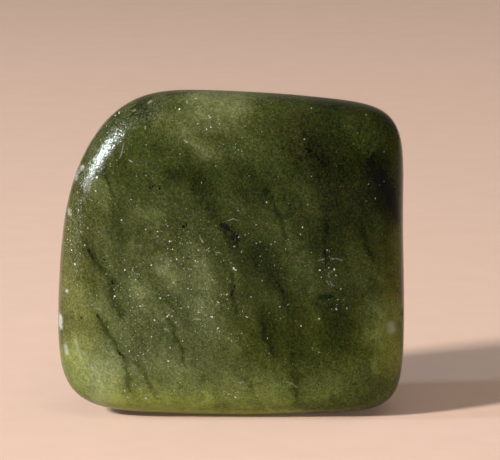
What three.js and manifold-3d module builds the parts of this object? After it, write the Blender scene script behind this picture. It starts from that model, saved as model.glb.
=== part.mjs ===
// A tumbled and polished slab of nephrite that stands on the small flat spot of its lower edge.
// Millimetres. +X is the stone's right, +Y points away from its broad front face, +Z is up.
// The origin is under the middle of the stone's box, on the surface that the stone stands on.

import * as THREE from "three";
import { mergeVertices } from "three/addons/utils/BufferGeometryUtils.js";
import Module from "manifold-3d";

// Driving dimensions. A flat is a plane of the sawn slab before tumbling wore it round. Its
// turn is in degrees in the stone's outline, from the right side round by the top, its lean
// is in degrees out of the outline towards the front, and out is its distance from the
// stone's middle.
const RIM_FLATS = [
  { name: "right side", turn: 0.2, lean: 0, out: 12.5 },
  { name: "top", turn: 85.5, lean: 0, out: 11.65 },
  { name: "worn top left corner", turn: 137, lean: 0, out: 13.3 },
  { name: "left side", turn: 177.4, lean: 0, out: 12.25 },
  { name: "worn lower left corner", turn: 234, lean: 0, out: 16.2 },
  { name: "underside", turn: 270.9, lean: 0, out: 11.75 },
];
const BROAD_FLATS = [
  { name: "front", turn: 270, lean: 90, out: 5.0 },
  { name: "back, thinner towards the top", turn: 80, lean: -87, out: 4.8 },
];
const CORNER_SHARPNESS = 8.3; // how tightly the outline turns its corners
const EDGE_SHARPNESS = 3.5; // how tightly the rim turns into the broad faces
const WORN_OFF = 0.15; // taken off the lowest point, so that the stone stands on a flat spot

// Slow waves of the hand-held grinding: rad per millimetre along each axis, and their height.
const SWELLS = [
  { along: [0.55, 0.1, 0.2], phase: 3.7, height: 0.03 },
  { along: [-0.15, 0.3, 0.5], phase: 0, height: 0.03 },
  { along: [0.35, 0.6, -0.4], phase: 3.3, height: 0.035 },
];

// Chips on the rim and nicks on the back, each the bite of an ellipsoid with these half sizes.
const CHIPS = [
  { name: "notch above the left side", turn: 151, lean: 8, half: [0.5, 0.9, 0.55], deep: 0.2 },
  { name: "nick on the left side", turn: 164, lean: 11, half: [0.3, 0.4, 0.35], deep: 0.1 },
  { name: "long chip on the left side", turn: 201.5, lean: 8, half: [0.3, 0.5, 0.65], deep: 0.12 },
  { name: "chip below it", turn: 209, lean: 12, half: [0.4, 0.4, 0.5], deep: 0.08 },
  { name: "dent on the right side", turn: 341.5, lean: 11, half: [0.4, 0.5, 0.4], deep: 0.08 },
  { name: "nick on the back rim", turn: 52, lean: -18, half: [0.6, 0.5, 0.5], deep: 0.12 },
  { name: "small nick on the back rim", turn: 222, lean: -15, half: [0.4, 0.4, 0.5], deep: 0.1 },
];

// Facets along the slab's width, thickness and height, crowded by this much towards its edges.
const FACETS = { width: 30, thickness: 12, height: 28 };
const EDGE_CROWDING = 0.25;
const CHIP_FACETS = { round: 12, high: 8 };
const WELD = 1e-4; // vertices closer than this are one
const STONE_COLOUR = 0x59622f;
const POLISHED = 0.22;

const wasm = await Module();
wasm.setup();

// The unit vector that a turn in the outline and a lean towards the front give.
function pointing({ turn, lean }) {
  const round = THREE.MathUtils.degToRad(turn);
  const forward = THREE.MathUtils.degToRad(lean);
  const spread = Math.cos(forward);
  return new THREE.Vector3(spread * Math.cos(round), -Math.sin(forward), spread * Math.sin(round));
}

// One over the distance at which a direction meets the flats, their corners worn round.
function nearness(direction, flats, sharpness) {
  let sum = 0;
  for (const flat of flats) {
    const share = Math.max(0, direction.dot(pointing(flat)) / flat.out);
    sum += share ** sharpness;
  }
  return sum ** (1 / sharpness);
}

// The stone's surface along a direction from its middle.
function surfacePoint(direction) {
  const rim = nearness(direction, RIM_FLATS, CORNER_SHARPNESS);
  const broad = nearness(direction, BROAD_FLATS, EDGE_SHARPNESS);
  const both = (rim ** EDGE_SHARPNESS + broad ** EDGE_SHARPNESS) ** (1 / EDGE_SHARPNESS);
  const point = direction.clone().divideScalar(both);
  let swell = 0;
  for (const { along, phase, height } of SWELLS) {
    swell += height * Math.sin(point.dot(new THREE.Vector3(...along)) + phase);
  }
  return point.addScaledVector(direction, swell);
}

// A fraction from -1 to 1 moved towards its end, so that rows crowd near the edges.
function crowd(fraction) {
  return fraction * (1 + EDGE_CROWDING * (1 - fraction * fraction));
}

// A closed geometry whose shared vertices are merged.
function welded(geometry) {
  const bare = geometry.clone();
  bare.deleteAttribute("normal");
  bare.deleteAttribute("uv");
  return mergeVertices(bare, WELD);
}

function toSolid(geometry) {
  return new wasm.Manifold(
    new wasm.Mesh({
      numProp: 3,
      vertProperties: geometry.attributes.position.array,
      triVerts: new Uint32Array(geometry.index.array),
    }),
  );
}

function toGeometry(solid) {
  const { vertProperties, triVerts } = solid.getMesh();
  const geometry = new THREE.BufferGeometry();
  geometry.setAttribute("position", new THREE.BufferAttribute(vertProperties, 3));
  geometry.setIndex(new THREE.BufferAttribute(triVerts, 1));
  return geometry;
}

// The slab: a box of facets, each vertex moved along its direction from the middle to the surface.
function slab() {
  const reach = (turn, lean) => surfacePoint(pointing({ turn, lean })).length();
  const width = reach(0, 0) + reach(180, 0);
  const thickness = reach(270, 90) + reach(90, -90);
  const height = reach(90, 0) + reach(270, 0);
  const box = welded(
    new THREE.BoxGeometry(2, 2, 2, FACETS.width, FACETS.thickness, FACETS.height),
  );
  const places = box.attributes.position;
  for (let i = 0; i < places.count; i++) {
    const corner = new THREE.Vector3(
      crowd(places.getX(i)) * width,
      crowd(places.getY(i)) * thickness,
      crowd(places.getZ(i)) * height,
    );
    const point = surfacePoint(corner.normalize());
    places.setXYZ(i, point.x, point.y, point.z);
  }
  return box;
}

// The ellipsoid that bites a chip out of the slab, sunk by the chip's depth.
function bite({ turn, lean, half, deep }) {
  const direction = pointing({ turn, lean });
  const size = new THREE.Vector3(...half);
  const halfAlong = 1 / direction.clone().divide(size).length();
  const surface = surfacePoint(direction).length();
  const centre = direction.clone().multiplyScalar(surface + halfAlong - deep);
  const ball = new THREE.SphereGeometry(1, CHIP_FACETS.round, CHIP_FACETS.high);
  return welded(ball.scale(...half).translate(...centre));
}

// The space under the surface that the stone stands on.
function ground(lowest) {
  const side = 40;
  const top = lowest + WORN_OFF;
  return welded(new THREE.BoxGeometry(side, side, side)).translate(0, 0, top - side / 2);
}

function stoneGeometry() {
  const rough = slab();
  rough.computeBoundingBox();
  const lowest = rough.boundingBox.min.z;
  let solid = toSolid(rough);
  for (const chip of CHIPS) {
    solid = solid.subtract(toSolid(bite(chip)));
  }
  solid = solid.subtract(toSolid(ground(lowest)));
  const geometry = toGeometry(solid);
  geometry.computeBoundingBox();
  const { min, max } = geometry.boundingBox;
  geometry.translate(-(min.x + max.x) / 2, -(min.y + max.y) / 2, -min.z);
  geometry.computeVertexNormals();
  return geometry;
}

const nephrite = new THREE.MeshStandardMaterial({
  color: STONE_COLOUR,
  roughness: POLISHED,
  metalness: 0,
});

const stone = new THREE.Mesh(stoneGeometry(), nephrite);
stone.name = "stone";

const part = new THREE.Group();
part.add(stone);

export default part;
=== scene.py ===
"""A tumbled slab of nephrite standing on a pale floor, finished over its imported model."""

import math

import bpy
import numpy as np
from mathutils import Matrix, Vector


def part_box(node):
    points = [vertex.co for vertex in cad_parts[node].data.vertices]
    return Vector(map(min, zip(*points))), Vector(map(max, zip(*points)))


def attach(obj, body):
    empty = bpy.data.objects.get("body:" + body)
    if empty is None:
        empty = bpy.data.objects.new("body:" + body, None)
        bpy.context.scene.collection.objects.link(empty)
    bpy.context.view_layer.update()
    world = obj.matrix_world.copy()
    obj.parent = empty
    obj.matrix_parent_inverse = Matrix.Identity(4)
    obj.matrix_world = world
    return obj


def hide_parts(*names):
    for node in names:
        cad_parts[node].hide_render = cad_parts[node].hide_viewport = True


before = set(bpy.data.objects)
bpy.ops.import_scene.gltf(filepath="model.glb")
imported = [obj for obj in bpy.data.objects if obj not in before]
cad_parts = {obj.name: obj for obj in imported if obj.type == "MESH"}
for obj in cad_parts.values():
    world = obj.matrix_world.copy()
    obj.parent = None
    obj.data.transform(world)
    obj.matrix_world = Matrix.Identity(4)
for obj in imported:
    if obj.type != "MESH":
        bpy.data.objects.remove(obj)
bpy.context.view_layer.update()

MM = 0.001

# The stone's driving dimensions, in millimetres and degrees, as in the source of its solid.
# A flat is a plane of the sawn slab: turn goes round the outline from the right side by the
# top, lean goes out of the outline towards the front, out is the distance from the middle.
RIM_FLATS = [
    {"turn": 0.2, "lean": 0, "out": 12.5},
    {"turn": 85.5, "lean": 0, "out": 11.65},
    {"turn": 137, "lean": 0, "out": 13.3},
    {"turn": 177.4, "lean": 0, "out": 12.25},
    {"turn": 234, "lean": 0, "out": 16.2},
    {"turn": 270.9, "lean": 0, "out": 11.75},
]
BROAD_FLATS = [
    {"turn": 270, "lean": 90, "out": 5.0},
    {"turn": 80, "lean": -87, "out": 4.8},
]
CORNER_SHARPNESS = 8.3
EDGE_SHARPNESS = 3.5
WORN_OFF = 0.15

# Slow waves of the grinding: radians per millimetre along each axis, phase, height.
SWELLS = [
    ((0.55, 0.1, 0.2), 3.7, 0.03),
    ((-0.15, 0.3, 0.5), 0.0, 0.03),
    ((0.35, 0.6, -0.4), 3.3, 0.035),
]

# Chips on the rim and nicks on the back: turn, lean, half sizes of the bite, depth.
CHIPS = [
    {"turn": 151, "lean": 8, "half": (0.5, 0.9, 0.55), "deep": 0.2},
    {"turn": 164, "lean": 11, "half": (0.3, 0.4, 0.35), "deep": 0.1},
    {"turn": 201.5, "lean": 8, "half": (0.3, 0.5, 0.65), "deep": 0.12},
    {"turn": 209, "lean": 12, "half": (0.4, 0.4, 0.5), "deep": 0.08},
    {"turn": 341.5, "lean": 11, "half": (0.4, 0.5, 0.4), "deep": 0.08},
    {"turn": 52, "lean": -18, "half": (0.6, 0.5, 0.5), "deep": 0.12},
    {"turn": 222, "lean": -15, "half": (0.4, 0.4, 0.5), "deep": 0.1},
]

# The fine surface: cells along width, thickness and height, crowded towards the box's edges.
STONE_CELLS = (170, 66, 160)
EDGE_CROWDING = 0.3

# The photograph's frame and the camera, which looks slightly down at the broad front face.
FRAME_PIXELS = 500
SENSOR = 36.0
CAMERA_AIM = (1.38, 0.0, 13.24)
CAMERA_DISTANCE = 260.0
CAMERA_HEIGHT_ANGLE = 10.0
PIXELS_PER_RADIAN = 3608.0


def pointing(turn, lean):
    """The unit vector that a turn in the outline and a lean towards the front give."""
    round_, forward = math.radians(turn), math.radians(lean)
    spread = math.cos(forward)
    return np.array([spread * math.cos(round_), -math.sin(forward), spread * math.sin(round_)])


def nearness(directions, flats, sharpness):
    """The p-norm of each flat's share of the way: one over the distance to the worn flats."""
    shares = [directions @ pointing(flat["turn"], flat["lean"]) / flat["out"] for flat in flats]
    return (np.maximum(shares, 0.0) ** sharpness).sum(axis=0) ** (1 / sharpness)


def smooth_reach(directions):
    """Distance from the middle to the unchipped surface: rim and broad flats joined by a
    p-norm, then the slow waves added."""
    rim = nearness(directions, RIM_FLATS, CORNER_SHARPNESS)
    broad = nearness(directions, BROAD_FLATS, EDGE_SHARPNESS)
    reach = (rim**EDGE_SHARPNESS + broad**EDGE_SHARPNESS) ** (-1 / EDGE_SHARPNESS)
    points = directions * reach[:, None]
    swell = sum(height * np.sin(points @ np.array(along) + phase) for along, phase, height in SWELLS)
    return reach + swell


def bitten_reach(directions, reach, chip):
    """The reach cut back to where each direction enters the chip's ellipsoid: the nearer root
    of a quadratic, in the space in which the ellipsoid is a unit ball."""
    towards = pointing(chip["turn"], chip["lean"])
    half = np.array(chip["half"])
    half_along = 1 / np.linalg.norm(towards / half)
    surface = smooth_reach(towards[None, :])[0]
    centre = towards * (surface + half_along - chip["deep"]) / half
    ray = directions / half
    along = ray @ centre
    square = (ray**2).sum(axis=1)
    inside = along**2 - square * (centre @ centre - 1)
    entry = (along - np.sqrt(np.maximum(inside, 0.0))) / square
    return np.where((inside > 0) & (along > 0), np.minimum(reach, entry), reach)


def box_lattice(cells):
    """The lattice points on the outside of a box, from -1 to 1 along each axis, and the quads
    that join them, each facing out."""
    counts = np.array(cells)
    lattice = np.stack(np.meshgrid(*(np.arange(n + 1) for n in cells), indexing="ij"), axis=-1)
    outside = ((lattice == 0) | (lattice == counts)).any(axis=-1)
    number = np.full(outside.shape, -1)
    number[outside] = np.arange(outside.sum())
    quads = []
    for axis in range(3):
        for end in (0, -1):
            sheet = np.take(number, end, axis=axis)
            corners = (sheet[:-1, :-1], sheet[1:, :-1], sheet[1:, 1:], sheet[:-1, 1:])
            faces = np.stack(corners, axis=-1).reshape(-1, 4)
            faces_out = (end == -1) != (axis == 1)
            quads.append(faces if faces_out else faces[:, ::-1])
    return lattice[outside] / counts * 2 - 1, np.concatenate(quads)


def make_mesh(name, points, quads):
    """A smooth-shaded object from points in metres and quads."""
    mesh = bpy.data.meshes.new(name)
    mesh.from_pydata(points, [], quads)
    mesh.polygons.foreach_set("use_smooth", np.ones(len(quads), dtype=bool))
    mesh.update()
    piece = bpy.data.objects.new(name, mesh)
    bpy.context.scene.collection.objects.link(piece)
    return piece


def make_stone():
    """The stone's surface: a box's lattice sent out along directions to the worn flats, its
    chips bitten out, its underside worn flat, its box centred over the origin."""
    places, quads = box_lattice(STONE_CELLS)
    crowded = places * (1 + EDGE_CROWDING * (1 - places**2))
    low, high = (np.array(corner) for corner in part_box("stone"))
    directions = crowded * (high - low)
    directions /= np.linalg.norm(directions, axis=1, keepdims=True)
    reach = smooth_reach(directions)
    lowest = (directions[:, 2] * reach).min()
    for chip in CHIPS:
        reach = bitten_reach(directions, reach, chip)
    points = directions * reach[:, None]
    points[:, 2] = np.maximum(points[:, 2] - lowest - WORN_OFF, 0.0)
    middle = (points.min(axis=0) + points.max(axis=0)) / 2
    points[:, :2] -= middle[:2]
    return make_mesh("polished_stone", points * MM, quads)


def add_node(tree, kind, inputs=None, **settings):
    """A shader node with its settings, its sockets set or linked."""
    node = tree.nodes.new(kind)
    for name, value in settings.items():
        setattr(node, name, value)
    for socket, value in (inputs or {}).items():
        if isinstance(value, bpy.types.NodeSocket):
            tree.links.new(value, node.inputs[socket])
        else:
            node.inputs[socket].default_value = value
    return node


def calc(tree, operation, first, second=0.0):
    return add_node(tree, "ShaderNodeMath", {0: first, 1: second}, operation=operation).outputs[0]


def held(tree, value):
    """The value held between 0 and 1."""
    return calc(tree, "MAXIMUM", calc(tree, "MINIMUM", value, 1.0), 0.0)


def join(tree, operation, values):
    """Many sockets taken together by one operation, such as ADD or MAXIMUM. A generator's nodes
    are made one by one and joined at once, so that few values are held at a time."""
    queue = iter(values)
    total = next(queue)
    for value in queue:
        total = calc(tree, operation, total, value)
    return total


def vector(tree, operation, inputs, output=0):
    return add_node(tree, "ShaderNodeVectorMath", inputs, operation=operation).outputs[output]


def fade(tree, value, start, end, low=1.0, high=0.0):
    """A smooth step from low, where value is start, to high, where it is end."""
    bounds = {"Value": value, "From Min": start, "From Max": end, "To Min": low, "To Max": high}
    node = add_node(tree, "ShaderNodeMapRange", bounds, interpolation_type="SMOOTHSTEP", clamp=False)
    return node.outputs["Result"]


def noise(tree, place, scale, detail=3.0, roughness=0.55, distortion=0.0):
    """Noise between 0 and 1 round a middle of 0.5, scale being its waves in a millimetre."""
    sockets = {
        "Vector": place,
        "Scale": scale,
        "Detail": detail,
        "Roughness": roughness,
        "Distortion": distortion,
    }
    return add_node(tree, "ShaderNodeTexNoise", sockets)


def swing(tree, field, amount):
    """A noise's value about its middle, times an amount."""
    return calc(tree, "MULTIPLY", calc(tree, "SUBTRACT", field, 0.5), amount)


def in_frame(tree, place, turn, stretch):
    """The place in a frame turned in the front face's plane and stretched along its axes."""
    sockets = {"Vector": place, "Rotation": (0, -math.radians(turn), 0), "Scale": stretch}
    return add_node(tree, "ShaderNodeMapping", sockets, vector_type="TEXTURE").outputs[0]


def shifted(tree, place, scale, reach, detail=3.0):
    """The place moved about by up to half the reach, in a slow random way."""
    wander = noise(tree, place, scale, detail).outputs["Color"]
    centred = vector(tree, "SUBTRACT", {0: wander, 1: (0.5, 0.5, 0.5)})
    return vector(tree, "MULTIPLY_ADD", {0: centred, 1: (reach, reach, reach), 2: place})


def flattened(tree, place):
    """The place laid onto the front face's plane."""
    return vector(tree, "MULTIPLY", {0: place, 1: (1.0, 0.0, 1.0)})


def stroke_distance(tree, flat_place, points):
    """Distance in the face's plane to a line through points: for each stretch, the distance to
    the point as far along it as the place is, held between the stretch's two ends."""

    def stretch_distance(x0, z0, x1, z1):
        along = (x1 - x0, 0.0, z1 - z0)
        square = along[0] ** 2 + along[2] ** 2
        rate = (along[0] / square, 0.0, along[2] / square)
        from_start = vector(tree, "SUBTRACT", {0: flat_place, 1: (x0, 0.0, z0)})
        passed = vector(tree, "DOT_PRODUCT", {0: from_start, 1: rate}, "Value")
        nearest = vector(tree, "SCALE", {0: along, 3: held(tree, passed)})
        return vector(tree, "DISTANCE", {0: from_start, 1: nearest}, "Value")

    return join(tree, "MINIMUM", (stretch_distance(*a, *b) for a, b in zip(points, points[1:])))


# Clouds in the stone near its front face, and lifts that lay painted glow and painted light on its
# bottom and rims: half width, how much they lift the tone, and the x and z of the points that
# they run through.
FRONT_CLOUDS_AND_GLOW = [
    (6.5, -0.22, [(5.8, 22.4), (7.6, 16.0)]),
    (5.0, 0.10, [(-6.0, 10.0), (-3.0, 7.0)]),
    # This stroke and the next: painted glow along the bottom, over partly paler stone.
    (8.0, 0.25, [(-9.0, 0.0), (0.0, 0.0)]),
    (4.2, 0.15, [(1.0, 0.6), (9.0, 0.2)]),
    (4.0, -0.06, [(0.5, 16.0), (2.5, 13.5), (4.5, 6.0)]),
    # This stroke and the next two: painted glow on the bottom rim and painted light over the shade of
    # its underside.
    (2.2, 0.09, [(2.6, 0.4), (10.4, 0.8)]),
    (0.9, 0.28, [(-9.0, 0.0), (10.0, 0.0)]),
    (2.6, 0.31, [(-8.8, 0.6), (-3.0, 0.4)]),
    # Painted glow of light through the lower right rim, over partly paler stone.
    (3.2, 0.15, [(11.2, 7.6), (11.4, 4.0)]),
    (3.5, -0.10, [(10.0, 21.0), (10.8, 16.0)]),
    (2.2, 0.13, [(1.5, 23.2), (5.5, 22.6)]),
    (1.1, 0.14, [(-7.6, 22.9), (-5.0, 23.6), (2.0, 23.7)]),
    # This stroke and the next: painted light on the left rim.
    (2.6, 0.09, [(-12.4, 15.0), (-12.2, 2.0)]),
    (1.8, 0.10, [(-11.6, 9.0), (-10.6, 6.5)]),
    # Painted light on the right rim, which the lamps leave in shade.
    (2.2, 0.10, [(11.6, 14.0), (12.2, 2.0)]),
    (2.0, 0.12, [(-9.2, 8.6), (-7.8, 6.2)]),
    (1.4, -0.08, [(-8.6, 21.4), (-5.4, 23.2)]),
    (2.2, 0.23, [(-2.0, 22.4), (0.0, 22.3)]),
    (1.4, 0.15, [(-4.6, 22.0), (-2.0, 19.8)]),
    (2.0, 0.05, [(1.0, 20.4), (3.4, 20.0)]),
    (1.4, -0.04, [(-6.6, 20.2), (-5.4, 19.6)]),
    (1.2, 0.06, [(-2.2, 20.0), (-0.8, 19.6)]),
    (1.6, 0.14, [(-9.2, 17.0), (-8.9, 16.0)]),
    (1.3, 0.10, [(-6.4, 15.2), (-5.0, 15.6)]),
    (1.2, 0.06, [(-7.2, 14.4), (-6.8, 13.6)]),
    (1.2, 0.10, [(-5.6, 15.0), (-4.6, 13.8)]),
    (1.6, 0.07, [(-9.2, 13.8), (-8.6, 11.6)]),
    (1.2, 0.06, [(-6.6, 12.5), (-5.8, 12.2)]),
    (1.5, 0.18, [(-4.7, 11.4), (-4.0, 10.5)]),
    (1.4, 0.12, [(-2.7, 12.8), (-2.0, 12.0)]),
    (1.9, 0.17, [(-1.9, 10.8), (-1.7, 8.8)]),
    (0.7, 0.10, [(0.3, 10.8), (0.5, 10.2)]),
    (1.1, 0.08, [(-7.0, 10.2), (-6.2, 9.8)]),
    (1.4, 0.12, [(-6.6, 9.0), (-5.4, 7.9)]),
    (1.2, 0.06, [(-5.6, 6.4), (-4.6, 5.4)]),
    (2.0, -0.08, [(-2.8, 18.6), (-1.8, 17.4)]),
    (0.9, 0.06, [(3.0, 18.8), (4.2, 17.2)]),
    (1.0, 0.10, [(5.0, 17.6), (5.8, 15.0)]),
    (1.1, 0.10, [(3.8, 14.2), (4.9, 11.4)]),
    (2.4, -0.06, [(6.0, 12.5), (8.4, 9.5)]),
    (1.6, -0.06, [(1.0, 10.5), (1.0, 5.5)]),
    (1.2, -0.06, [(2.6, 18.6), (3.4, 17.6)]),
    (1.6, -0.08, [(6.5, 23.0), (11.0, 22.0)]),
    (0.9, 0.06, [(2.6, 15.4), (3.2, 14.6)]),
    (0.8, 0.05, [(5.5, 12.4), (6.1, 10.2)]),
    (1.0, 0.06, [(8.8, 12.4), (9.4, 10.4)]),
    (1.6, 0.12, [(10.4, 8.0), (10.5, 6.6)]),
    (1.8, 0.14, [(10.9, 5.8), (11.1, 4.4)]),
    (0.8, 0.08, [(6.1, 7.8), (6.3, 7.6)]),
    (0.8, 0.08, [(1.1, 8.4), (1.5, 7.5)]),
    (1.6, 0.08, [(-0.8, 7.0), (0.2, 5.6)]),
    (1.8, 0.09, [(8.6, 21.6), (10.0, 20.2)]),
    # Painted glow on the left rim, over partly paler stone.
    (1.5, 0.08, [(-11.3, 10.5), (-11.2, 7.6)]),
    (1.4, -0.08, [(-12.2, 9.0), (-12.0, 3.0)]),
    (1.6, 0.08, [(-9.4, 6.6), (-8.6, 5.0)]),
    (1.3, 0.10, [(-10.4, 9.4), (-9.9, 8.2)]),
    (3.2, 0.28, [(-10.8, 4.4), (-9.0, 3.2)]),
    (2.0, 0.14, [(-5.6, 4.2), (-4.0, 3.9)]),
    (1.2, 0.06, [(-7.4, 4.3), (-6.6, 4.0)]),
    (1.5, 0.07, [(-1.4, 4.3), (-0.6, 3.9)]),
    (1.6, 0.11, [(-5.8, 2.2), (-5.0, 2.2)]),
    (1.7, 0.10, [(-3.4, 2.4), (-2.0, 2.0)]),
    (1.7, 0.06, [(-0.3, 2.9), (0.6, 1.9)]),
    (1.0, 0.06, [(-1.6, 1.4), (-0.6, 1.4)]),
    (1.9, 0.08, [(2.2, 2.6), (3.4, 2.4)]),
    (1.8, 0.10, [(5.8, 2.6), (6.9, 2.6)]),
    (1.8, 0.06, [(7.8, 3.4), (9.2, 3.6)]),
    (1.6, -0.09, [(5.6, 20.4), (7.6, 18.2)]),
    (1.4, -0.04, [(7.4, 16.4), (7.3, 12.4)]),
    (1.4, -0.14, [(10.2, 18.8), (11.4, 15.2)]),
    (1.4, -0.10, [(11.2, 22.8), (12.2, 21.2)]),
    (1.1, -0.14, [(-4.1, 18.1), (-2.4, 17.7)]),
    (0.9, -0.08, [(-2.4, 17.1), (-1.2, 15.2)]),
    (1.3, -0.10, [(-0.2, 14.2), (1.4, 12.4)]),
    (1.6, -0.15, [(2.2, 12.2), (3.0, 10.8)]),
    (1.1, -0.09, [(3.8, 10.0), (4.4, 8.2)]),
    (1.3, -0.14, [(2.4, 7.8), (2.9, 5.4)]),
    (1.4, -0.10, [(1.0, 18.6), (1.6, 16.6)]),
    (2.0, -0.18, [(7.2, 8.6), (7.6, 6.4)]),
    (1.5, -0.04, [(9.0, 8.8), (9.2, 5.6)]),
    (1.4, -0.10, [(4.5, 7.2), (4.9, 5.2)]),
    (0.7, -0.08, [(2.2, 17.2), (3.1, 14.8)]),
    (0.9, -0.04, [(-4.4, 9.2), (-2.9, 7.2)]),
    (1.6, -0.06, [(-8.0, 18.4), (-7.0, 17.8)]),
    (1.0, -0.08, [(-8.1, 15.6), (-7.7, 13.8)]),
    (0.7, -0.08, [(4.8, 3.4), (4.8, 1.6)]),
    (1.1, -0.08, [(5.6, 0.8), (9.6, 1.0)]),
    (0.7, -0.14, [(-6.6, 22.4), (-6.0, 23.1)]),
    (0.5, -0.12, [(-4.3, 23.4), (-3.5, 23.6)]),
]

# The same for the back, which the front's strokes don't reach.
BACK_CLOUDS = [
    (2.8, 0.19, [(6.5, 19.5), (2.0, 16.5)]),
    (2.4, 0.19, [(-7.0, 16.5), (-3.5, 11.0)]),
    (2.8, 0.21, [(2.5, 8.5), (7.0, 3.5)]),
    (2.0, 0.16, [(-8.5, 6.5), (-5.5, 3.5)]),
    (1.6, 0.14, [(-1.0, 20.5), (1.5, 17.5)]),
    (3.0, 0.12, [(-9.0, 2.5), (8.0, 2.5)]),
    (1.5, 0.12, [(11.0, 14.0), (11.0, 6.0)]),
    (1.8, -0.18, [(-9.0, 20.0), (-7.0, 16.0)]),
    (1.2, -0.14, [(-1.0, 16.0), (2.0, 10.0)]),
    (1.6, -0.16, [(8.0, 13.0), (9.0, 9.0)]),
    (1.0, -0.12, [(-3.0, 8.0), (0.0, 4.0)]),
    (2.2, -0.12, [(0.0, 22.0), (6.0, 22.0)]),
]

# Places with a tint of their own: half width, strength and line. The stone is milky there, or
# clear, olive, warm from the light that comes through its rim, brown, or smoky grey.
MILKY_PLACES = [
    (4.6, 0.9, [(-8.0, 13.0), (-3.0, 8.6)]),
    (2.2, 0.5, [(-3.0, 22.0), (1.2, 22.0)]),
    (2.2, 1.0, [(-8.0, 21.6), (-5.0, 22.4)]),
    (1.8, 0.9, [(-5.6, 18.0), (-4.4, 18.4)]),
    (1.8, 0.7, [(2.6, 18.4), (4.4, 12.0)]),
    (1.8, 1.0, [(5.6, 23.2), (8.8, 21.4)]),
    (3.0, 0.4, [(-10.6, 4.2), (-8.8, 2.4)]),
    (1.0, 0.8, [(6.8, 12.0), (7.4, 9.4)]),
]
CLEAR_PLACES = [
    (5.0, 1.0, [(2.5, 6.0), (9.0, 6.0)]),
    (3.4, 0.5, [(9.0, 18.0), (10.0, 12.5)]),
]
OLIVE_PLACES = [
    (4.5, 0.3, [(-8.0, 22.6), (9.0, 22.0)]),
    (3.8, 1.0, [(-11.6, 19.0), (-11.6, 7.0)]),
    (1.6, 1.0, [(12.0, 8.0), (12.0, 4.0)]),
]
WARM_PLACES = [
    (2.6, 0.4, [(-12.0, 13.0), (-10.2, 6.0)]),
    (2.0, 0.6, [(-12.2, 6.0), (-11.0, 1.5)]),
    (4.0, 1.0, [(-7.0, 1.0), (10.0, 0.4)]),
    (2.8, 0.9, [(12.2, 14.5), (12.0, 3.0)]),
]
BROWN_PLACES = [
    (1.8, 0.9, [(12.0, 14.0), (11.8, 9.5)]),
    (1.2, 0.9, [(12.0, 20.8), (12.2, 18.0)]),
    (1.6, 0.5, [(10.0, 22.8), (11.6, 21.8)]),
]
SMOKY_PLACES = [
    (2.8, 0.9, [(5.0, 20.6), (8.0, 17.0)]),
]

# What each tint multiplies the stone's colour by.
TINTS = [
    (SMOKY_PLACES, (1.16, 1.0, 1.32, 1)),
    (MILKY_PLACES, (1.0, 1.0, 1.04, 1)),
    (CLEAR_PLACES, (1.0, 1.0, 0.60, 1)),
    (OLIVE_PLACES, (1.16, 1.0, 0.94, 1)),
    (WARM_PLACES, (0.95, 1.0, 0.46, 1)),
    (BROWN_PLACES, (1.15, 0.92, 0.55, 1)),
]

# Smoky veins: half width, strength and the x and z of the points that they run through.
FRONT_VEINS = [
    (0.50, 0.14, [(-10.2, 13.1), (-10.0, 12.3), (-8.8, 10.8), (-8.3, 10.4), (-8.4, 9.4), (-7.9, 7.9)]),
    (0.40, 0.14, [(-9.5, 7.9), (-9.1, 7.1), (-8.4, 6.1), (-8.1, 5.4), (-7.4, 4.6), (-7.3, 2.4)]),
    (0.28, 0.12, [(-6.7, 4.5), (-6.0, 3.2), (-5.3, 1.9)]),
    (0.28, 0.12, [(-4.7, 8.0), (-4.0, 6.7), (-3.6, 5.6), (-3.2, 4.3)]),
    (0.22, 0.14, [(-9.1, 18.4), (-8.6, 17.3), (-8.2, 15.9)]),
    (0.45, 0.04, [(-2.4, 17.2), (-1.3, 15.2), (0.0, 13.1), (1.2, 11.6), (3.2, 10.4), (3.9, 9.2)]),
    (0.30, 0.10, [(0.0, 11.0), (0.1, 9.4), (0.3, 8.2)]),
    (0.30, 0.08, [(2.6, 17.2), (3.1, 15.8), (3.6, 14.4), (3.9, 12.6)]),
    (0.30, 0.08, [(1.0, 3.2), (1.6, 2.1), (2.0, 1.2)]),
    (0.30, 0.10, [(4.3, 5.0), (4.6, 3.2), (4.7, 1.4)]),
    (0.26, 0.10, [(2.2, 7.4), (2.6, 6.2), (3.1, 4.9)]),
    (0.20, 0.12, [(6.8, 14.8), (6.7, 12.8)]),
    (0.30, 0.10, [(9.3, 14.6), (9.6, 12.9), (10.2, 11.6)]),
    (0.24, 0.14, [(6.4, 9.2), (7.1, 9.3)]),
]
BACK_VEINS = [
    (0.55, 0.12, [(9.6, 18.6), (8.8, 16.4), (7.6, 14.8), (7.0, 12.6)]),
    (0.45, 0.11, [(-2.0, 19.6), (-1.2, 17.8), (0.4, 16.4), (0.8, 14.2)]),
    (0.40, 0.11, [(-6.2, 9.6), (-5.2, 7.8), (-4.8, 5.4)]),
]

# The band of scuffs along the rim's front rounding, where the highlight lies: half width, strength
# and line. It roughens the polish, and its pale frost is painted glints of the highlight, partly
# frosting of the worn rim.
SCUFFS_AND_GLINTS = [
    (0.5, 0.8, [(-11.15, 14.6), (-11.05, 13.4)]),
    (0.8, 0.5, [(-11.1, 11.0), (-11.1, 14.4), (-10.4, 17.0)]),
    (1.0, 1.0, [(-10.4, 17.2), (-9.2, 19.4), (-7.4, 21.4)]),
    (0.8, 0.5, [(-7.4, 21.4), (-5.2, 22.6)]),
]

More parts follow.
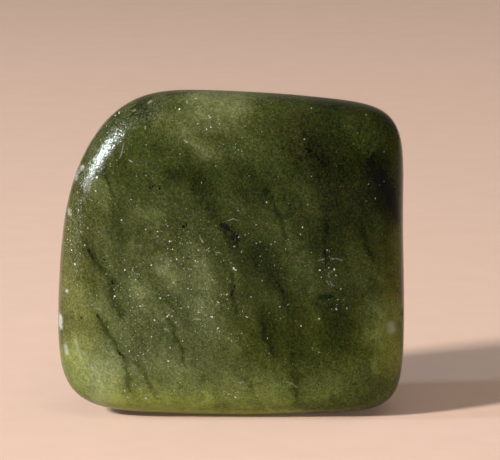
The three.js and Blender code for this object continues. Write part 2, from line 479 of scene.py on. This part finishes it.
# Black grains of ore: half width, and the line that they lie along.
ORE_MARKS = [
    (0.11, [(-5.60, 17.15), (-5.40, 17.30)]),
    (0.09, [(-5.10, 17.10), (-5.00, 17.05)]),
    (0.08, [(-3.35, 14.30), (-3.10, 14.50)]),
    (0.13, [(6.65, 12.60), (6.70, 12.20)]),
    (0.07, [(6.70, 12.00), (6.75, 11.40)]),
    (0.16, [(5.40, 19.80), (5.70, 19.65)]),
    (0.10, [(6.00, 19.40), (6.80, 18.60)]),
    (0.07, [(9.50, 14.30), (9.60, 13.70)]),
    (0.10, [(-10.05, 12.50), (-9.80, 12.00)]),
    (0.06, [(-9.00, 11.85), (-8.95, 11.80)]),
    (0.06, [(-8.45, 10.40), (-8.35, 10.20)]),
    (0.06, [(-11.00, 7.70), (-10.95, 7.70)]),
    (0.05, [(-10.70, 7.55), (-10.65, 7.60)]),
    (0.08, [(-9.50, 7.85), (-9.40, 7.75)]),
    (0.07, [(-8.00, 5.30), (-7.60, 4.80)]),
    (0.07, [(0.30, 10.10), (0.05, 9.40)]),
    (0.07, [(3.30, 10.40), (3.70, 9.60)]),
    (0.08, [(8.15, 9.90), (8.25, 9.85)]),
]

# Crowds of small black grains: how black the stone is between them, and each crowd's half
# width and line.
ORE_BETWEEN_GRAINS = 0.78
ORE_BLOTCHES = [
    (0.34, [(9.9, 19.2), (10.0, 18.0)]),
    (0.60, [(10.6, 17.9), (10.9, 16.9)]),
    (0.50, [(11.2, 16.6), (11.5, 15.6)]),
    (0.34, [(11.7, 15.2), (11.9, 14.4)]),
    (0.30, [(-0.50, 14.36), (-0.15, 14.20)]),
    (0.26, [(0.20, 13.85), (0.45, 13.45)]),
]

# The dark line in the chip on the rim's left, a crack with painted shade along the chip's lower edge:
# half width and line.
CRACK_AND_CHIP_SHADE = [
    (0.06, [(-11.07, 17.36), (-10.50, 17.92)]),
]

# White scars of the chips on the rim: half width, strength and line.
PALE_MARKS = [
    (0.45, 0.38, [(11.45, 7.00), (11.55, 6.60)]),
    (0.26, 0.80, [(-10.95, 17.80), (-11.10, 17.40)]),
    (0.18, 0.45, [(-10.50, 18.25), (-10.65, 18.05)]),
    (0.22, 0.45, [(-11.52, 15.05), (-11.50, 14.85)]),
    (0.32, 0.80, [(-12.25, 7.30), (-12.28, 6.60)]),
    (0.24, 0.45, [(-11.85, 5.30), (-11.75, 4.80)]),
    (0.14, 0.20, [(-11.10, 5.90), (-10.70, 4.60)]),
    (0.15, 0.60, [(-11.70, 9.40), (-11.68, 9.30)]),
]

# Scratches and lint, thin pale lines of one half width and strength.
PALE_LINE_HALF_WIDTH = 0.05
PALE_LINE_STRENGTH = 0.20
PALE_LINES = [
    [(6.25, 11.92), (6.60, 12.0)],
    [(7.10, 12.05), (7.55, 12.0), (7.90, 11.88)],
    [(6.95, 11.0), (6.98, 10.7)],
    [(6.80, 10.45), (6.95, 10.2)],
    [(7.05, 10.4), (7.20, 10.1)],
    [(4.0, 3.0), (4.35, 2.9), (4.75, 2.55)],
    [(-7.55, 20.10), (-7.65, 19.70)],
    [(-7.65, 19.60), (-7.85, 19.10)],
]

# Single white flecks that stand out, partly painted glints of pits: x, z and half size.
FLECK_SPOTS = [
    (6.31, 11.2, 0.07),
    (6.82, 12.65, 0.06),
    (7.35, 11.25, 0.07),
    (6.42, 10.7, 0.06),
    (7.48, 10.85, 0.05),
    (6.30, 7.7, 0.08),
    (8.27, 8.4, 0.07),
    (7.50, 8.35, 0.06),
    (5.08, 14.3, 0.07),
    (0.33, 1.8, 0.09),
    (-6.10, 1.7, 0.09),
    (-7.40, 1.75, 0.08),
    (0.22, 11.35, 0.10),
    (0.36, 11.25, 0.08),
    (-7.95, 22.0, 0.06),
    (2.60, 6.3, 0.05),
    (9.77, 17.3, 0.05),
    (10.25, 16.25, 0.06),
    (10.86, 19.5, 0.05),
    (2.54, 16.1, 0.07),
    (0.58, 13.6, 0.05),
    (2.54, 12.75, 0.04),
    (2.25, 10.5, 0.05),
    (1.45, 9.3, 0.06),
    (5.00, 7.2, 0.05),
    (3.50, 8.6, 0.05),
    (-2.05, 17.5, 0.05),
    (-3.60, 22.5, 0.07),
    (-4.5, 7.9, 0.07),
    (-5.6, 11.6, 0.08),
    (-4.3, 13.3, 0.06),
    (-3.8, 12.0, 0.07),
    (-7.5, 11.2, 0.06),
    (-5.0, 9.2, 0.08),
    (-6.4, 8.6, 0.07),
    (-5.4, 7.6, 0.08),
    (-5.6, 6.4, 0.06),
    (-4.3, 5.6, 0.07),
    (-7.2, 5.3, 0.07),
    (-6.6, 5.0, 0.06),
    (-7.7, 14.8, 0.07),
    (-6.0, 14.15, 0.06),
    (-5.15, 14.0, 0.07),
    (-3.4, 6.1, 0.06),
    (-2.5, 11.9, 0.07),
    (-11.1, 11.4, 0.07),
    (-8.7, 7.0, 0.06),
]

# White dashes that stand out: half width and line. The first six, near the highlight's upper
# end, are painted glints; the rest, like the flecks, are partly painted glints of pits.
WHITE_DASHES = [
    (0.05, [(-6.02, 21.35), (-6.00, 21.10)]),
    (0.07, [(-5.85, 22.80), (-5.60, 22.92)]),
    (0.07, [(-3.10, 23.00), (-3.08, 22.85)]),
    (0.05, [(-6.98, 22.25), (-6.75, 22.33)]),
    (0.06, [(-3.30, 20.45), (-3.05, 20.30)]),
    (0.05, [(-7.15, 19.00), (-6.95, 18.90)]),
    (0.05, [(-0.15, 14.80), (0.20, 14.92), (0.55, 14.80)]),
    (0.06, [(-2.55, 7.72), (-2.15, 7.68)]),
    (0.05, [(-2.15, 13.50), (-1.90, 13.20)]),
    (0.05, [(-1.05, 12.50), (-0.70, 12.48)]),
    (0.06, [(-4.70, 7.00), (-4.40, 6.85)]),
]

# Where the white flecks crowd: half width, how thickly, and line.
FLECK_SWARMS = [
    (4.0, 1.0, [(-3.6, 12.0), (-1.6, 7.5)]),
    (2.6, 0.9, [(-7.0, 10.5), (-6.0, 5.0)]),
    (1.6, 0.8, [(-8.0, 2.0), (1.0, 2.0)]),
    (1.4, 0.5, [(6.4, 12.0), (7.8, 8.6)]),
    (1.8, 0.9, [(-8.0, 21.5), (-11.5, 13.0)]),
    (1.4, 0.4, [(-2.0, 22.6), (0.0, 20.0)]),
]

# Random flecks, partly painted glints of pits that catch the light and partly pale fibres and
# dust: the cells' spacing, the largest half size and how white they are. The finest, glints and
# dust, are spread more widely than the specks and the dashes, which lie along three turns.
GLINTS_AND_DUST = [
    (0.17, 0.045, 0.45),
    (0.26, 0.055, 0.6),
]
SPECKS = (0.75, 0.09, 0.8)
DASHES = (0.45, 0.045)
DASH_TURNS = (-25, 40, 100)
DASH_STRETCH = (2.6, 1.0, 1.0)
SMALLEST_FLECK = 0.35

# Share of cells with a fleck for a crowd of 1, what is taken off it, and added to it for the
# finest glints and dust.
CROWD_SHARE = 0.50
CROWD_OFFSET = -0.03
GLINT_AND_DUST_SHARE = 0.07

# How white the placed dashes and the placed spots are.
DASH_STRENGTH = 0.26
SPOT_STRENGTH = 0.85

# The stone's colour at each lightness, and its lightness where nothing is drawn.
STONE_TONES = [
    (0.00, (0.0022, 0.0031, 0.0008)),
    (0.20, (0.0073, 0.0099, 0.0020)),
    (0.40, (0.0193, 0.0242, 0.0055)),
    (0.60, (0.0452, 0.0540, 0.0180)),
    (0.80, (0.0970, 0.1104, 0.0440)),
    (1.00, (0.1760, 0.1990, 0.0880)),
]
BASE_TONE = 0.40

# Lightness from the valleys to the crests of each noise in the stone.
STRAND_LIFT = 0.26
THREAD_LIFT = 0.28
MOTTLE_LIFT = 0.26
GRIT_LIFT = 0.80

# The grit is this many times stronger in black stone, and loses so much up to full lightness.
GRIT_AT_BLACK = 1.36
GRIT_LOST = 0.72

# A vein's core of dark grains: where it begins to fade, its half width, its share of the vein.
VEIN_CORE = (0.02, 0.17)
VEIN_CORE_SHARE = 0.7

# The colour's grain: slope and middle of the factor for red, green and blue.
GENTLE_GRAIN = ((1.0, 0.4, 2.6), (0.50, 0.80, -0.27))
STRONG_GRAIN = ((3.0, 0.4, 5.2), (-0.50, 0.80, -1.57))

# Colours of what is drawn over the stone: the ore, which also darkens the chip's dark line, a
# crack with painted shade; the chips' pale scars; the rim's frost, in part painted glints of the
# highlight; and the flecks, partly painted glints of pits.
ORE_COLOUR = (0.0016, 0.0015, 0.0014, 1)
SCAR_COLOUR = (0.27, 0.29, 0.26, 1)
FROST_AND_GLINT_COLOUR = (0.175, 0.19, 0.18, 1)
FLECK_COLOUR = (0.34, 0.37, 0.33, 1)

# The polish: its least roughness, what the fine noise adds, what scuffs add to that, the depth
# of its pits in metres, and the pits' strength unscuffed and added by scuffs.
LEAST_ROUGHNESS = 0.06
UNEVEN_ROUGHNESS = 0.12
SCUFF_ROUGHNESS = 0.06
PIT_DEPTH = 0.00003
PIT_STRENGTH = 0.4
SCUFF_PITS = 0.6

# How strongly the polish mirrors, and the tint of what it mirrors.
REFRACTION = 1.2
MIRROR_LEVEL = 0.42
MIRROR_TINT = (0.75, 0.92, 0.88, 1)

# Share of the light that enters the stone and comes out again nearby, how far it goes in
# metres, and the share of that way for red, green and blue.
ENTERING_LIGHT = 0.5
ENTERING_REACH = 0.002
ENTERING_COLOUR = (0.9, 1.0, 0.4)

# The floor: its darker and paler fibres, and half its side in metres.

FLOOR_COLOURS = [(0.370, 0.260, 0.202, 1), (0.405, 0.284, 0.225, 1)]
FLOOR_ROUGHNESS = 0.85
FLOOR_HALF_SIDE = 1.5

# The point in metres that the lamps are aimed at. Then each lamp's azimuth from the front to the
# right and height angle in degrees, distance and sides in metres, power in watts, and colour.
LAMP_TARGET = (0.0, 0.0, 0.012)
LAMPS = {
    "key_lamp": (-56, 27, 0.6, (0.07, 0.07), 10.9, (1.0, 0.97, 0.93)),
    "side_fill": (55, 10, 0.6, (0.30, 0.25), 0.9, (1.0, 0.98, 0.96)),
    "front_fill": (-15, 3, 0.6, (0.40, 0.10), 1.0, (1.0, 0.98, 0.94)),
    "top_fill": (10, 62, 0.8, (0.60, 0.60), 2.0, (1.0, 0.98, 0.96)),
    "back_fill": (120, 35, 0.8, (0.60, 0.60), 3.0, (1.0, 0.90, 0.88)),
    "gloss_lamp": (-79, 25, 0.6, (0.040, 0.12), 20.0, (1.0, 0.97, 1.0)),
}
SURROUND_COLOUR = (1.0, 0.90, 0.66, 1)
SURROUND_STRENGTH = 0.16


def stroke_field(tree, flat_place, strokes, fray=0.0, operation="ADD"):
    """Strokes that fade from their line to their half width, added up or the strongest taken."""

    def shades():
        for width, strength, points in strokes:
            distance = calc(tree, "ADD", stroke_distance(tree, flat_place, points), fray)
            yield fade(tree, distance, 0.0, width, strength, 0.0)

    return join(tree, operation, shades())


def vein_field(tree, flat_place, veins, fray, grains):
    """The strongest of the smoky veins, each with a thin core of dark grains along its line."""

    def shades():
        for width, strength, points in veins:
            distance = calc(tree, "ADD", stroke_distance(tree, flat_place, points), fray)
            shade = fade(tree, distance, *VEIN_CORE, VEIN_CORE_SHARE * strength, 0.0)
            core = calc(tree, "MULTIPLY", shade, grains)
            yield calc(tree, "ADD", fade(tree, distance, 0.0, width, strength, 0.0), core)

    return join(tree, "MAXIMUM", shades())


def mark_field(tree, flat_place, marks, fray, core=0.5):
    """1 in marks with a ragged border, which fade from their core's share of the width."""

    def shapes():
        for width, points in marks:
            distance = calc(tree, "ADD", stroke_distance(tree, flat_place, points), fray)
            yield fade(tree, distance, core * width, width)

    return join(tree, "MAXIMUM", shapes())


def flecks(tree, place, spacing, radius, share, sharpness=3.0):
    """Flecks in a share of the cells of a Voronoi pattern, each of its own size up to radius."""
    cells = add_node(tree, "ShaderNodeTexVoronoi", {"Vector": place, "Scale": 1 / spacing})
    chance = add_node(tree, "ShaderNodeSeparateColor", {0: cells.outputs["Color"]})
    largest = radius / spacing
    size = fade(tree, chance.outputs[1], 0.0, 1.0, SMALLEST_FLECK * largest, largest)
    inside = calc(tree, "SUBTRACT", size, cells.outputs["Distance"])
    mark = held(tree, calc(tree, "MULTIPLY", inside, sharpness / largest))
    chosen = calc(tree, "LESS_THAN", chance.outputs[0], share)
    return calc(tree, "MULTIPLY", mark, chosen)


def blended(tree, factor, first, second, blend="MIX"):
    """Two colours mixed or multiplied by a factor, through a Mix node's colour sockets."""
    sockets = {0: factor, 6: first, 7: second}
    node = add_node(tree, "ShaderNodeMix", sockets, data_type="RGBA", blend_type=blend)
    return node.outputs[2]


def stone_tone(tree, place, fields):
    """Lightness of the stone before its flecks: cloud strokes and veins, each side of the stone with
    its own, the front's strokes also laying painted glow and painted light on the bottom and rims,
    and strands, threads, mottling and grit all through it, the grit coarser where the stone is dark."""
    cloudy = shifted(tree, place, scale=0.7, reach=1.4, detail=4.0)
    flat_clouds = flattened(tree, cloudy)
    flat_veins = flattened(tree, shifted(tree, place, scale=0.9, reach=0.9))
    fray = swing(tree, fields["fine"], amount=0.9)
    grains = fade(tree, fields["grit"], start=0.46, end=0.56, low=0.0, high=1.0)
    sides = []
    for cloud_and_glow_strokes, veins in ((FRONT_CLOUDS_AND_GLOW, FRONT_VEINS), (BACK_CLOUDS, BACK_VEINS)):
        lift = stroke_field(tree, flat_clouds, cloud_and_glow_strokes)
        smoke = vein_field(tree, flat_veins, veins, fray, grains)
        sides.append(calc(tree, "SUBTRACT", lift, smoke))
    front_to_back = {0: fields["behind"], 2: sides[0], 3: sides[1]}
    drawn = add_node(tree, "ShaderNodeMix", front_to_back).outputs[0]
    sloping = in_frame(tree, cloudy, turn=-62, stretch=(3.2, 1.6, 1.0))
    strands = noise(tree, sloping, scale=1.1, detail=5.0, roughness=0.6, distortion=0.4)
    steeper = in_frame(tree, cloudy, turn=-58, stretch=(2.2, 1.3, 1.0))
    threads = noise(tree, steeper, scale=3.2, detail=4.0, roughness=0.65, distortion=0.6)
    mottle = noise(tree, place, scale=1.6, detail=5.0, roughness=0.7, distortion=0.8)
    parts = [
        calc(tree, "ADD", drawn, BASE_TONE),
        swing(tree, strands.outputs[0], STRAND_LIFT),
        swing(tree, threads.outputs[0], THREAD_LIFT),
        swing(tree, mottle.outputs[0], MOTTLE_LIFT),
    ]
    smooth = join(tree, "ADD", parts)
    coarse = calc(tree, "SUBTRACT", GRIT_AT_BLACK, calc(tree, "MULTIPLY", smooth, GRIT_LOST))
    grit = calc(tree, "MULTIPLY", swing(tree, fields["grit"], GRIT_LIFT), coarse)
    return calc(tree, "ADD", smooth, grit)


def toned(tree, tone):
    """The stone's colour for a lightness."""
    ramp = add_node(tree, "ShaderNodeValToRGB", {0: tone})
    ramp.color_ramp.elements.remove(ramp.color_ramp.elements[1])
    for position, colour in STONE_TONES:
        element = ramp.color_ramp.elements.new(position)
        element.color = (*colour, 1.0)
    ramp.color_ramp.elements.remove(ramp.color_ramp.elements[0])
    return ramp.outputs[0]


def ore_field(tree, place, flat_place, fields):
    """1 in the black ore near the front, its grains and the chip's dark line, a crack with painted
    shade, and a little less between the small grains that crowd in its blotches."""
    fray = swing(tree, fields["grit"], amount=0.6)
    grains = mark_field(tree, flat_place, ORE_MARKS, fray)
    coarse = swing(tree, fields["fine"], amount=1.4)
    ragged = calc(tree, "ADD", coarse, swing(tree, fields["grit"], amount=1.6))
    blotches = mark_field(tree, flat_place, ORE_BLOTCHES, ragged, core=0.8)
    crowded = flecks(tree, place, spacing=0.20, radius=0.17, share=0.75, sharpness=6.0)
    speckle = calc(tree, "MAXIMUM", crowded, ORE_BETWEEN_GRAINS)
    crack_shade_mask = mark_field(tree, flat_place, CRACK_AND_CHIP_SHADE, swing(tree, fields["grit"], amount=0.1))
    specks = calc(tree, "MULTIPLY", blotches, speckle)
    black = join(tree, "MAXIMUM", (grains, crack_shade_mask, specks))
    return calc(tree, "MULTIPLY", black, calc(tree, "SUBTRACT", 1.0, fields["behind"]))


def fleck_field(tree, place, flat_place, fields):
    """Random white flecks of three sizes and dashes that lie three ways, thicker in the swarms,
    and the placed dashes and spots of the front: partly painted glints of pits that catch the
    light, partly pale fibres and dust."""
    ragged = shifted(tree, place, scale=9.0, reach=0.22)
    flat_ragged = flattened(tree, ragged)

    def swarms():
        for width, strength, points in FLECK_SWARMS:
            yield fade(tree, stroke_distance(tree, flat_place, points), 0.0, width, strength, 0.0)

    swarm = join(tree, "MAXIMUM", swarms())
    crowd = calc(tree, "ADD", swarm, swing(tree, fields["slow"], amount=0.9))
    share = calc(tree, "ADD", calc(tree, "MULTIPLY", crowd, CROWD_SHARE), CROWD_OFFSET)
    glint_dust_share = calc(tree, "ADD", share, GLINT_AND_DUST_SHARE)

    def single_spots():
        for x, z, radius in FLECK_SPOTS:
            distance = vector(tree, "DISTANCE", {0: flat_ragged, 1: (x, 0.0, z)}, "Value")
            yield fade(tree, distance, 0.4 * radius, radius)

    def kinds():
        for spacing, radius, whiteness in GLINTS_AND_DUST:
            yield calc(tree, "MULTIPLY", flecks(tree, ragged, spacing, radius, glint_dust_share), whiteness)
        spacing, radius, whiteness = SPECKS
        yield calc(tree, "MULTIPLY", flecks(tree, ragged, spacing, radius, share), whiteness)
        fray = swing(tree, fields["grit"], amount=0.2)
        dashes = mark_field(tree, flat_ragged, WHITE_DASHES, fray, core=0.1)
        yield calc(tree, "MULTIPLY", calc(tree, "MULTIPLY", dashes, DASH_STRENGTH), fields["ahead"])
        spots = join(tree, "MAXIMUM", single_spots())
        yield calc(tree, "MULTIPLY", calc(tree, "MULTIPLY", spots, SPOT_STRENGTH), fields["ahead"])
        for turn in DASH_TURNS:
            yield flecks(tree, in_frame(tree, ragged, turn, DASH_STRETCH), *DASHES, share)

    return join(tree, "MAXIMUM", kinds())


def pale_field(tree, flat_place, fields):
    """Pale scars and thinner lines on the front half."""
    fray = swing(tree, fields["grit"], amount=0.6)
    scars = stroke_field(tree, flat_place, PALE_MARKS, fray, "MAXIMUM")
    threads = [(PALE_LINE_HALF_WIDTH, points) for points in PALE_LINES]
    lines = mark_field(tree, flat_place, threads, swing(tree, fields["grit"], amount=0.3))
    pale = calc(tree, "MAXIMUM", scars, calc(tree, "MULTIPLY", lines, PALE_LINE_STRENGTH))
    return calc(tree, "MULTIPLY", pale, fields["ahead"])


def grained(tree, place, colour, tone):
    """The colour times a factor near 1 that differs from grain to grain, most in red and blue,
    and more where the stone is dark."""
    grain = noise(tree, place, scale=8.0, detail=2.0, roughness=0.8).outputs["Color"]
    gentle = vector(tree, "MULTIPLY_ADD", {0: grain, 1: GENTLE_GRAIN[0], 2: GENTLE_GRAIN[1]})
    strong = vector(tree, "MULTIPLY_ADD", {0: grain, 1: STRONG_GRAIN[0], 2: STRONG_GRAIN[1]})
    dark = fade(tree, tone, start=0.15, end=0.60)
    return blended(tree, 1.0, colour, blended(tree, dark, gentle, strong), "MULTIPLY")


def stone_fields(tree, place):
    """The noises that several parts of the material share, and two fades along the depth: behind
    goes from 0 to 1 towards the back, and ahead from 1 to 0 behind the front rounding."""
    depth = add_node(tree, "ShaderNodeSeparateXYZ", {0: place}).outputs["Y"]
    return {
        "slow": noise(tree, place, scale=0.5, detail=3.0).outputs[0],
        "fine": noise(tree, place, scale=3.0, detail=4.0, roughness=0.7).outputs[0],
        "grit": noise(tree, place, scale=7.0, detail=3.0, roughness=0.75).outputs[0],
        "behind": fade(tree, depth, start=0.4, end=3.4, low=0.0, high=1.0),
        "ahead": fade(tree, depth, start=-1.7, end=-0.8),
    }


def polish(tree, shader, place, fields, scuff_and_glint_band):
    """Sets the roughness and the fine pits, both stronger along the band of scuffs."""
    scuff_share = calc(tree, "MULTIPLY", scuff_and_glint_band, SCUFF_ROUGHNESS)
    dull = calc(tree, "ADD", scuff_share, UNEVEN_ROUGHNESS)
    shine = calc(tree, "ADD", calc(tree, "MULTIPLY", fields["fine"], dull), LEAST_ROUGHNESS)
    tree.links.new(shine, shader.inputs["Roughness"])
    pits = noise(tree, place, scale=8.0, detail=1.5, roughness=0.6).outputs[0]
    strength = calc(tree, "ADD", calc(tree, "MULTIPLY", scuff_and_glint_band, SCUFF_PITS), PIT_STRENGTH)
    sockets = {"Height": pits, "Strength": strength, "Distance": PIT_DEPTH}
    tree.links.new(add_node(tree, "ShaderNodeBump", sockets).outputs[0], shader.inputs["Normal"])
    shader.inputs["IOR"].default_value = REFRACTION
    shader.inputs["Specular IOR Level"].default_value = MIRROR_LEVEL
    shader.inputs["Specular Tint"].default_value = MIRROR_TINT


def nephrite_material():
    material = bpy.data.materials.new("polished_nephrite")
    material.use_nodes = True
    tree = material.node_tree
    shader = tree.nodes["Principled BSDF"]
    metres = add_node(tree, "ShaderNodeTexCoord").outputs["Object"]
    place = vector(tree, "MULTIPLY", {0: metres, 1: (1 / MM, 1 / MM, 1 / MM)})
    flat_place = flattened(tree, place)
    fields = stone_fields(tree, place)
    tone = stone_tone(tree, place, fields)
    colour = grained(tree, place, toned(tree, tone), tone)
    fray = swing(tree, fields["slow"], amount=1.6)
    for places, tint in TINTS:
        strength = stroke_field(tree, flat_place, places, fray, "MAXIMUM")
        colour = blended(tree, strength, colour, tint, "MULTIPLY")
    # The ore mask also holds the chip's dark line: a crack with painted shade.
    ore = ore_field(tree, place, flat_place, fields)
    colour = blended(tree, ore, colour, ORE_COLOUR)
    colour = blended(tree, pale_field(tree, flat_place, fields), colour, SCAR_COLOUR)
    fray = swing(tree, fields["slow"], amount=1.4)
    # The band of scuffs roughens the polish; its pale frost is painted glints of the highlight, partly
    # frosting of the worn rim.
    scuff_and_glint_band = stroke_field(tree, flat_place, SCUFFS_AND_GLINTS, fray, "MAXIMUM")
    frost_and_glints = fade(tree, fields["grit"], start=0.45, end=0.65, low=0.0, high=0.30)
    colour = blended(tree, calc(tree, "MULTIPLY", scuff_and_glint_band, frost_and_glints), colour, FROST_AND_GLINT_COLOUR)
    # White flecks: partly painted glints of pits that catch the light, partly pale fibres and dust.
    colour = blended(tree, fleck_field(tree, place, flat_place, fields), colour, FLECK_COLOUR)
    tree.links.new(colour, shader.inputs["Base Color"])
    polish(tree, shader, place, fields, scuff_and_glint_band)
    kept_out = calc(tree, "MULTIPLY", ore, ENTERING_LIGHT)
    entering = calc(tree, "SUBTRACT", ENTERING_LIGHT, kept_out)
    tree.links.new(entering, shader.inputs["Subsurface Weight"])
    shader.inputs["Subsurface Radius"].default_value = ENTERING_COLOUR
    shader.inputs["Subsurface Scale"].default_value = ENTERING_REACH
    return material


def floor_material():
    material = bpy.data.materials.new("pale_floor")
    material.use_nodes = True
    tree = material.node_tree
    shader = tree.nodes["Principled BSDF"]
    place = add_node(tree, "ShaderNodeTexCoord").outputs["Object"]
    fibres = noise(tree, place, scale=260.0, detail=3.0).outputs[0]
    ramp = add_node(tree, "ShaderNodeValToRGB", {0: fibres})
    for element, colour in zip(ramp.color_ramp.elements, FLOOR_COLOURS):
        element.color = colour
    tree.links.new(ramp.outputs[0], shader.inputs["Base Color"])
    shader.inputs["Roughness"].default_value = FLOOR_ROUGHNESS
    return material


def make_floor():
    half = FLOOR_HALF_SIDE
    corners = [(-half, -half, 0), (half, -half, 0), (half, half, 0), (-half, half, 0)]
    floor = make_mesh("floor", corners, [(0, 1, 2, 3)])
    floor.data.materials.append(floor_material())


def aim_at(thing, target):
    """Turns a lamp or the camera so that its -Z axis points at the target."""
    offset = np.array(target) - np.array(thing.location)
    flat = math.hypot(offset[0], offset[1])
    pitch = math.atan2(flat, -offset[2])
    thing.rotation_euler = (pitch, 0.0, math.atan2(-offset[0], offset[1]))


def add_lamp(name, azimuth, height_angle, distance, sides, power, colour):
    """A soft lamp round the stone, aimed at it: azimuth 0 is in front and 90 to the right."""
    data = bpy.data.lights.new(name, "AREA")
    data.shape = "RECTANGLE"
    data.size, data.size_y = sides
    data.energy = power
    data.color = colour
    lamp = bpy.data.objects.new(name, data)
    round_, up = math.radians(azimuth), math.radians(height_angle)
    lamp.location = (
        distance * math.cos(up) * math.sin(round_),
        -distance * math.cos(up) * math.cos(round_),
        LAMP_TARGET[2] + distance * math.sin(up),
    )
    aim_at(lamp, LAMP_TARGET)
    bpy.context.scene.collection.objects.link(lamp)
    return lamp


def light_studio():
    """A key lamp whose shadow falls to the right and four wide fills, none of which the polish
    mirrors, a narrow lamp seen only in the polish, and a dim surround. Two fills cast no shadow,
    so that the floor isn't black beside the foot of the stone."""
    lamps = {name: add_lamp(name, *facts) for name, facts in LAMPS.items()}
    for name, lamp in lamps.items():
        lamp.visible_glossy = name == "gloss_lamp"
        lamp.visible_diffuse = name != "gloss_lamp"
    for name in ("top_fill", "back_fill"):
        lamps[name].data.use_shadow = False
    world = bpy.data.worlds.new("studio")
    world.use_nodes = True
    background = world.node_tree.nodes["Background"]
    background.inputs["Color"].default_value = SURROUND_COLOUR
    background.inputs["Strength"].default_value = SURROUND_STRENGTH
    bpy.context.scene.world = world


def add_camera():
    data = bpy.data.cameras.new("camera")
    data.sensor_width = SENSOR
    data.lens = PIXELS_PER_RADIAN * SENSOR / FRAME_PIXELS
    data.clip_start = 0.01
    data.clip_end = 10.0
    camera = bpy.data.objects.new("camera", data)
    down = math.radians(CAMERA_HEIGHT_ANGLE)
    aim = np.array(CAMERA_AIM) * MM
    back = CAMERA_DISTANCE * MM
    camera.location = aim + np.array([0.0, -math.cos(down) * back, math.sin(down) * back])
    aim_at(camera, aim)
    bpy.context.scene.collection.objects.link(camera)
    bpy.context.scene.camera = camera


bpy.context.scene.view_settings.view_transform = "Standard"
stone = make_stone()
stone.data.materials.append(nephrite_material())
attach(stone, "root")
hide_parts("stone")
make_floor()
light_studio()
add_camera()
